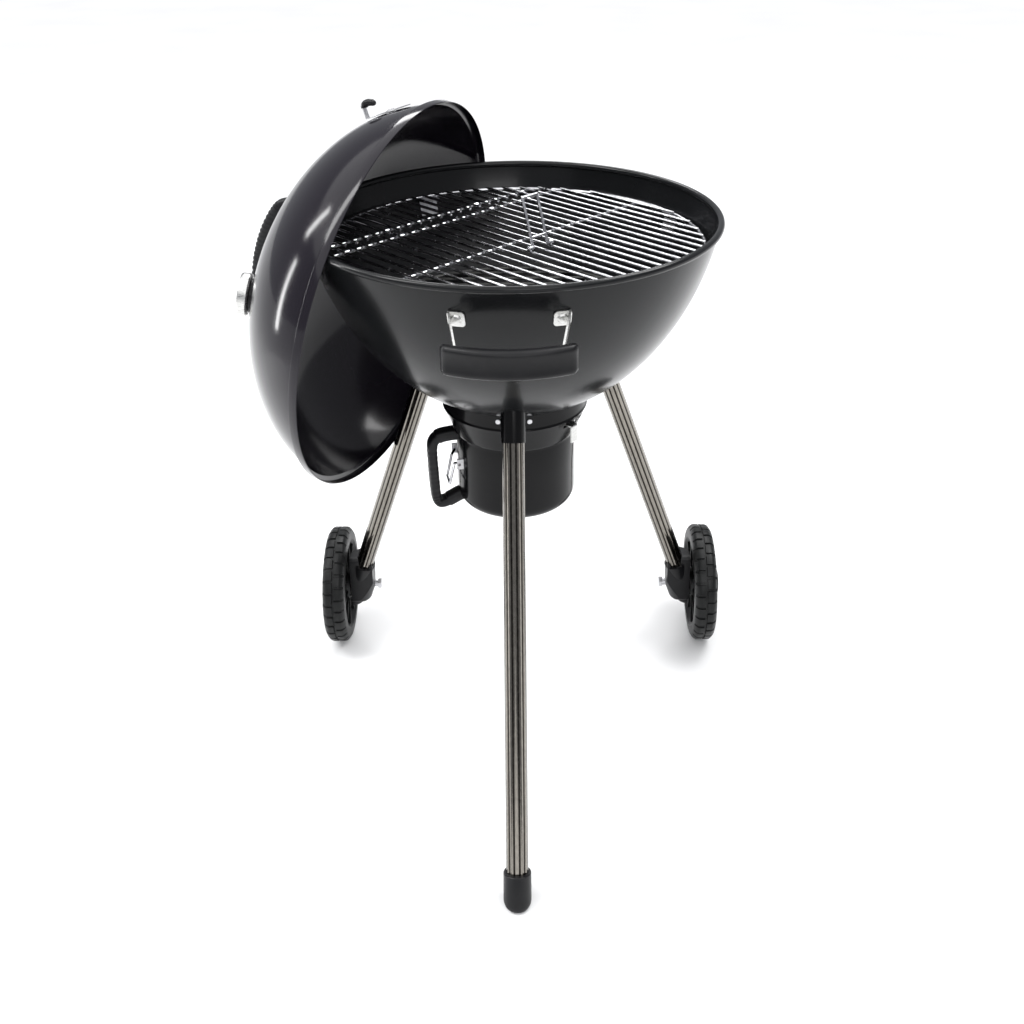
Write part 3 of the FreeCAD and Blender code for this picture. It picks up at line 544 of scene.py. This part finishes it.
def make_wheel(name, side):
    """Moulded wheel with two rows of tread blocks and ten ribs on each face."""
    pivot = Vector(JOINTS[name + "_spin"]["pos_m"])
    place = turn_about(pivot, Vector((side, 0, 0)), Vector((0, 0, 1)))
    # The tread in degrees: blocks 10 wide every 12, the outer row half a step on.
    blocks, period, half_step = 30, 12.0, 6.0
    angles = sorted({round((m + shift + period * b) % 360, 3)
                     for b in range(blocks) for m in (0.0, 0.5, 5.0, 9.5, 10.0)
                     for shift in (0.0, half_step)})
    angles = [math.radians(a) for a in angles]
    groove, tread_depth, middle_groove = 2.6 * MM, 5.0 * MM, 1.6 * MM

    def tread(a, r, z):
        if r < WHEEL_R - tread_depth:
            return r
        if abs(z) < middle_groove:
            return r - groove
        at = (math.degrees(a) - (half_step if z > 0 else 0.0)) % period
        return r if 0.4 < at < 9.6 else r - groove

    h, m = WHEEL_HALF, MM
    # Radius and depth below the face, from the hub outward.
    bore = 6.08
    hub_inside = [(bore, 0.5), (24, 0.5), (27, 6)]
    hub_outside = [(27, 6), (24, 1), (bore, 1)]
    rim = [(70, 9), (75, 4), (78, 0), (88, 0), (92.5, 0.8), (96.5, 3.4), (99.2, 6.2), (100.3, 9)]
    outline = [(r * m, -h + d * m) for r, d in hub_inside + rim]
    outline += [(WHEEL_R, z * m) for z in (-5, -1.8, -1.4, 1.4, 1.8, 5)]
    outline += [(r * m, h - d * m) for r, d in rim[::-1] + hub_outside]
    piece(name + "_tyre", lathe(outline, radius=tread, angles=angles), name, WHEEL_PLASTIC,
          [name], place, sharp=30)
    rib_in, rib_out, rib_half, rib_deep, rib_sunk = 26 * m, 74 * m, 1.6 * m, 9.5 * m, 3.0 * m
    ribs = bmesh.new()
    for k in range(10):
        part = box_bm(ribs, (rib_in, -rib_half, h - rib_deep), (rib_out, rib_half, h - rib_sunk))
        part += box_bm(ribs, (rib_in, -rib_half, -h + rib_sunk), (rib_out, rib_half, -h + rib_deep))
        spin_verts(ribs, part, 36 * k + 18)
    bmesh.ops.bevel(ribs, geom=ribs.edges[:], offset=0.6 * m, segments=2, affect="EDGES")
    piece(name + "_ribs", ribs, name, WHEEL_PLASTIC, [], place)


# ---- handles --------------------------------------------------------------------------------

def make_front_grip():
    """Bowed grip on the bowl, with a long finger hollow and pinched ends."""
    lo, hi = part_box("bowl_handle_grip")
    zc, half_h = (lo.z + hi.z) / 2, (hi.z - lo.z) / 2
    steps, around = 44, 40
    front_end, front_bow = -325 * MM, 21 * MM
    back_end, back_bow = -306 * MM, 19 * MM
    pinch_from, pinch_amount = 0.93, 0.75
    hollow_depth, hollow_half = 3.5 * MM, half_h * 0.72
    bm = bmesh.new()
    rings = []
    for i in range(steps + 1):
        u = -1 + 2 * i / steps
        x = hi.x * u
        bow = 1 - (x / hi.x) ** 2
        front = front_end - front_bow * bow
        back = back_end - back_bow * bow
        yc, half_d = (front + back) / 2, (back - front) / 2
        end = max(0.0, (abs(u) - pinch_from) / (1 - pinch_from))
        pinch = math.sqrt(max(0.0, 1 - end ** 2 * pinch_amount))
        ring = []
        for k in range(around):
            w = TAU * k / around
            y = half_d * signed_power(math.cos(w), 0.75)
            z = half_h * signed_power(math.sin(w), 0.6)
            hollow = hollow_depth * max(0.0, 1 - (z / hollow_half) ** 2) if math.cos(w) < 0 else 0.0
            ring.append(bm.verts.new((x, yc + (y + hollow) * pinch, zc + z * (0.6 + 0.4 * pinch))))
        rings.append(ring)
    skin(bm, rings, caps=True)
    piece("front_grip", bm, "stand", PLASTIC, ["bowl_handle_grip"], sharp=50)


def lid_place():
    """Where the lid hangs: z points out of the dome, x up it, turned by the lid's spin."""
    side = LID_UP.cross(LID_OPENS)
    if side.x < 0:
        side = -side
    xdir = LID_UP * math.cos(LID_SPIN) + side * math.sin(LID_SPIN)
    return turn_about(LID_CENTRE, -LID_OPENS, xdir)


def dome_height(r):
    return LID_CZ + LID_B * math.sqrt(1 - (r / LID_A) ** 2)


def dome_frame(az_deg, radial):
    """Frame on the dome's outer surface: z out of it, x up the slope."""
    h = dome_height(radial)
    n = Vector((radial / LID_A ** 2, 0, (h - LID_CZ) / LID_B ** 2)).normalized()
    turn = Matrix.Rotation(math.radians(az_deg), 4, "Z")
    local = turn_about(turn @ Vector((radial, 0, h)), turn @ n, turn @ Vector((-n.z, 0, n.x)))
    return lid_place() @ local


def make_lid():
    """Dome with a stepped skirt and three vent holes."""
    m, steps = MM, 70
    top = math.radians(90)
    low = math.asin((LID_STEP + SHEET - LID_CZ) / LID_B)
    outer, inner = [], []
    for k in range(steps + 1):
        w = low + (top - low) * k / steps
        outer.append((LID_A * math.cos(w), LID_CZ + LID_B * math.sin(w)))
        inner.append(((LID_A - SHEET) * math.cos(w), LID_CZ + (LID_B - SHEET) * math.sin(w)))
    outer[-1], inner[-1] = (0, LID_POLE), (0, LID_POLE - SHEET)
    skirt_out = [(SKIRT_R - 0.6 * m, 0), (SKIRT_R, 0.6 * m), (SKIRT_R, 11.4 * m),
                 (SKIRT_R - 0.7 * m, 12.7 * m), (SKIRT_R - 2.0 * m, 13.2 * m)]
    skirt_in = [(SKIRT_R - SHEET - 1.0 * m, 12.0 * m), (SKIRT_R - SHEET, 11.2 * m),
                (SKIRT_R - SHEET, 0.4 * m)]
    profile = skirt_out + outer + inner[::-1] + skirt_in
    lid = piece("lid_shell", lathe(profile, 256), "lid", LID_BLACK, ["lid_dome"], lid_place(),
                sharp=40)
    hole_r, hole_ring, hole_depth = 8 * m, 17 * m, 30 * m
    holes = bmesh.new()
    for k in range(3):
        made = bmesh.ops.create_cone(holes, segments=32, radius1=hole_r, radius2=hole_r,
                                     depth=hole_depth, cap_ends=True)
        spot = Matrix.Rotation(math.radians(120 * k), 4, "Z") @ Matrix.Translation((hole_ring, 0, 0))
        bmesh.ops.transform(holes, matrix=spot, verts=made["verts"])
    holes.transform(dome_frame(*VENT_SPOT))
    carve(lid, holes)


def make_lid_handle():
    """Ribbed bow over the dome's pole, its feet cut to the dome."""
    m = MM
    half = [(79, -24), (79.2, -6), (79, 8), (78, 20), (72, 29.5), (60, 36), (40, 42), (20, 45.2)]
    route = [(-x, z) for x, z in half] + [(0, 46.2)] + half[::-1]
    path = smooth_path([(x * m, 0, LID_POLE + z * m) for x, z in route], 14)
    half_wide, half_thick, foot_extra = 11.3 * m, 10.6, 0.6
    rib_depth, rib_pitch, rib_share, foot_share = 0.9 * m, 0.0225, 0.27, 0.12

    def size(t):
        away = abs(t - 0.5)
        ridge = math.sin((t - 0.5) * math.pi * 2 / rib_pitch) > 0.2
        rib = rib_depth * ridge if away < rib_share else 0.0
        foot = max(0.0, away - (0.5 - foot_share)) / foot_share
        return (half_wide - rib, (half_thick + foot_extra * foot) * m - rib)

    grip = piece("lid_grip", sweep(path, size, around=32, power=2.8), "lid", PLASTIC,
                 ["lid_handle"], lid_place(), sharp=40)
    below = LID_POLE - 90 * m
    surface = [(r * m, dome_height(r * m)) for r in range(140, -1, -7)]
    core = lathe([(0, below), (140 * m, below)] + surface, 96)
    core.transform(lid_place())
    bmesh.ops.recalc_face_normals(core, faces=core.faces)
    carve(grip, core)


def make_vent_knob():
    m = MM
    route = [(37.4, 16.5), (37.0, 19), (34.5, 21.3), (30, 22), (25.5, 21), (21.5, 19.6), (18.5, 20)]
    path = smooth_path([(x * m, 0, z * m) for x, z in route], 8)

    def size(t):
        swell = 1 + 0.15 * math.exp(-((t - 0.45) / 0.25) ** 2)
        taper = 1 - 0.55 * max(0.0, (t - 0.8) / 0.2) ** 2
        return (5.2 * m * swell * taper, 4.5 * m * swell * taper)

    piece("vent_knob_grip", sweep(path, size, around=24, power=2.3), "lid_vent", PLASTIC,
          ["vent_knob"], dome_frame(*VENT_SPOT))


def make_thermometer():
    """Bezel, stem, dial face and its plain ticks."""
    m = MM
    place = dome_frame(*GAUGE_SPOT)
    profile = [(5.0, 3.2), (27, 3.2), (29.5, 4.2), (31, 6.5), (31, 15.2), (30.3, 17.6),
               (29.4, 18.8), (28.6, 19.0), (28.3, 18.2), (28.3, 7.5), (5.0, 7.5)]
    bezel = lathe([(r * m, z * m) for r, z in profile], 96)
    piece("thermometer_bezel", bezel, "lid", PLATE_STEEL, ["thermometer_case"], place)
    stem = lathe([(0, -40 * m), (3 * m, -40 * m), (5 * m, -36 * m), (5 * m, 6 * m), (0, 6 * m)], 32)
    piece("thermometer_stem", stem, "lid", ZINC, [], place)
    long_from, short_from, tick_to, tick_half = 18 * m, 21 * m, 25 * m, 0.35 * m
    ticks = bmesh.new()
    for k in range(41):
        start = long_from if k % 5 == 0 else short_from
        part = box_bm(ticks, (start, -tick_half, 8.7 * m), (tick_to, tick_half, 8.95 * m))
        spin_verts(ticks, part, -60 + 7.5 * k)
    piece("thermometer_ticks", ticks, "lid", MARKS, [], place)
    face = lathe([(1.7 * m, 7.6 * m), (28.2 * m, 7.6 * m), (28.2 * m, 8.5 * m),
                  (27.4 * m, 8.7 * m), (1.7 * m, 8.7 * m)], 96)
    piece("thermometer_face", face, "lid", DIAL, ["thermometer_dial"], place)


def make_bucket_handle():
    """Ribbed handle at the side of the bucket, its ends cut to bucket and collar."""
    m, low, r = MM, BUCKET_LOW, BUCKET_R
    route = [(84, 517.5), (100, 517.2), (114, 514.8), (122.5, 508.5), (125.6, 497), (125.3, 470),
             (124.4, 445), (122.8, 418), (119, 406.8), (111, 405), (100, 409), (90, 414), (82, 417)]
    path = smooth_path([(x * m, 0, z * m) for x, z in route], 10)
    half_wide, half_thick, arm_extra = 11.8 * m, 7.6, 1.8
    rib_depth, rib_pitch = 0.8 * m, 0.026

    def size(t):
        ridge = math.sin(t * math.pi * 2 / rib_pitch) > 0.1
        rib = rib_depth * ridge if 0.34 < t < 0.66 else 0.0
        arm = abs(t - 0.5) > 0.3
        return (half_wide - rib, (half_thick + arm_extra * arm) * m - rib * 0.6)

    handle = piece("bucket_grip", sweep(path, size, around=28, power=3.2), "ash_catcher", PLASTIC,
                   ["bucket_handle"], HANDLE_TURN, sharp=40)
    above = BUCKET_TOP + 20 * m
    core = lathe([(0, low - 20 * m), (r - 18 * m, low - 0.3 * m), (r - 7 * m, low + 4 * m),
                  (r - 1 * m, low + 13 * m), (r + 0.1 * m, low + 22 * m), (r + 0.1 * m, 519.6 * m),
                  (90.4 * m, 520.2 * m), (95.3 * m, 531 * m), (95.3 * m, above), (0, above)], 96)
    bmesh.ops.recalc_face_normals(core, faces=core.faces)
    carve(handle, core)


# ---- carried-over CAD nodes -----------------------------------------------------------------

CAD_LOOKS = (
    (WIRE, ("cooking_grate", "grate_flap", "flap_clips", "grate_bail", "latch_wire")),
    (BUCKET_BLACK, ("leg_sockets",)),
    (PLATE_STEEL, ("bowl_handle_brackets", "bowl_handle_rivets", "cleaning_lever")),
    (ZINC, ("socket_bolts", "axle_bolts", "axle_washers", "axle_nuts", "collar_screws",
            "lid_handle_screws", "bucket_handle_screw", "shaft_nut", "thermometer_nut",
            "grate_supports_upper", "grate_supports_lower", "lid_hook", "latch_lugs")),
    (PLASTIC, ("rear_leg_caps", "left_hub_cap", "right_hub_cap", "thermometer_base")),
    (ALU, ("vent_damper", "vent_rivet", "cleaning_blades")),
    (COAL_WIRE, ("charcoal_grate",)),
    (RED, ("thermometer_needle",)),
    (LENS, ("thermometer_lens",)),
)


def paint_cad():
    for material, nodes in CAD_LOOKS:
        for node in nodes:
            mesh = NODES[node].data
            mesh.materials.clear()
            mesh.materials.append(material)


# ---- stage ----------------------------------------------------------------------------------

FLOOR_HALF, FLOOR_GAP = 30.0, 0.0002
WORLD_COLOR, WORLD_STRENGTH = (0.93, 0.95, 1.0, 1), 0.4
SKY_POWER, SKY_ANGLE = 2.5, math.radians(110)
SKY_TILT = (math.radians(8), math.radians(-6), 0)
MIDDLE = (0, 0, 0.6)
# Name, place, what it points at, width and height in metres, watts.
AREA_LIGHTS = (
    ("ceiling_left", (-1.6, -0.4, 2.9), MIDDLE, (0.5, 1.6), 30),
    ("ceiling_right", (1.5, 0.6, 3.0), MIDDLE, (1.2, 1.2), 38),
    ("ceiling_back", (0.1, 2.2, 2.6), MIDDLE, (1.8, 0.5), 30),
    ("left_strip", (-2.7, 0.25, 1.0), (-0.28, -0.16, 0.8), (0.16, 1.2), 13),
    ("left_high_strip", (-2.2, 0.35, 2.2), (-0.25, -0.13, 0.88), (0.16, 0.7), 8),
    ("front_fill", (0.6, -3.2, 2.2), MIDDLE, (1.6, 1.0), 16),
)


def make_floor():
    bm = bmesh.new()
    bmesh.ops.create_grid(bm, x_segments=8, y_segments=8, size=FLOOR_HALF)
    mesh = mesh_from(bm, "floor")
    mesh.materials.append(floor_material())
    floor = new_object("floor", mesh)
    floor.location.z = min(0.0, CAD_BOX[0].z) - FLOOR_GAP


def make_lights():
    world = bpy.data.worlds.new("studio")
    world.use_nodes = True
    background = world.node_tree.nodes["Background"]
    background.inputs["Color"].default_value = WORLD_COLOR
    background.inputs["Strength"].default_value = WORLD_STRENGTH
    bpy.context.scene.world = world
    sky = bpy.data.lights.new("sky_panel", "SUN")
    sky.energy = SKY_POWER
    sky.angle = SKY_ANGLE
    new_object("sky_panel", sky).rotation_euler = SKY_TILT
    for name, place, target, size, power in AREA_LIGHTS:
        light = bpy.data.lights.new(name, "AREA")
        light.shape = "RECTANGLE"
        light.size, light.size_y = size
        light.energy = power
        obj = new_object(name, light)
        obj.location = place
        obj.rotation_mode = "QUATERNION"
        obj.rotation_quaternion = (Vector(target) - Vector(place)).to_track_quat("-Z", "Y")


def make_camera():
    """Camera at the viewing angle: yaw, dip below level and roll, in radians."""
    place = (0.0295, -1.6313, 1.3476)
    yaw, dip, roll = -0.0195, 0.4087, -0.0169
    lens_mm, sensor_mm = 43.194375, 36.0
    shift_x, shift_y = -0.000390625, -0.15830078125
    forward = Vector((math.sin(yaw) * math.cos(dip), math.cos(yaw) * math.cos(dip), -math.sin(dip)))
    level = Vector((math.cos(yaw), -math.sin(yaw), 0))
    upright = level.cross(forward)
    right = level * math.cos(roll) + upright * math.sin(roll)
    up = upright * math.cos(roll) - level * math.sin(roll)
    cam = bpy.data.cameras.new("camera")
    cam.sensor_width = sensor_mm
    cam.lens = lens_mm
    cam.shift_x, cam.shift_y = shift_x, shift_y
    cam.clip_end = 100
    obj = new_object("camera", cam)
    obj.matrix_world = (Matrix.Translation(place)
                        @ Matrix((right, up, -forward)).transposed().to_4x4())
    bpy.context.scene.camera = obj


make_bowl()
make_collar()
make_bucket()
make_legs()
make_foot()
make_wheel("left_wheel", -1)
make_wheel("right_wheel", 1)
make_front_grip()
make_lid()
make_lid_handle()
make_vent_knob()
make_thermometer()
make_bucket_handle()
paint_cad()
make_floor()
make_lights()
make_camera()
bpy.context.scene.view_settings.view_transform = "Standard"
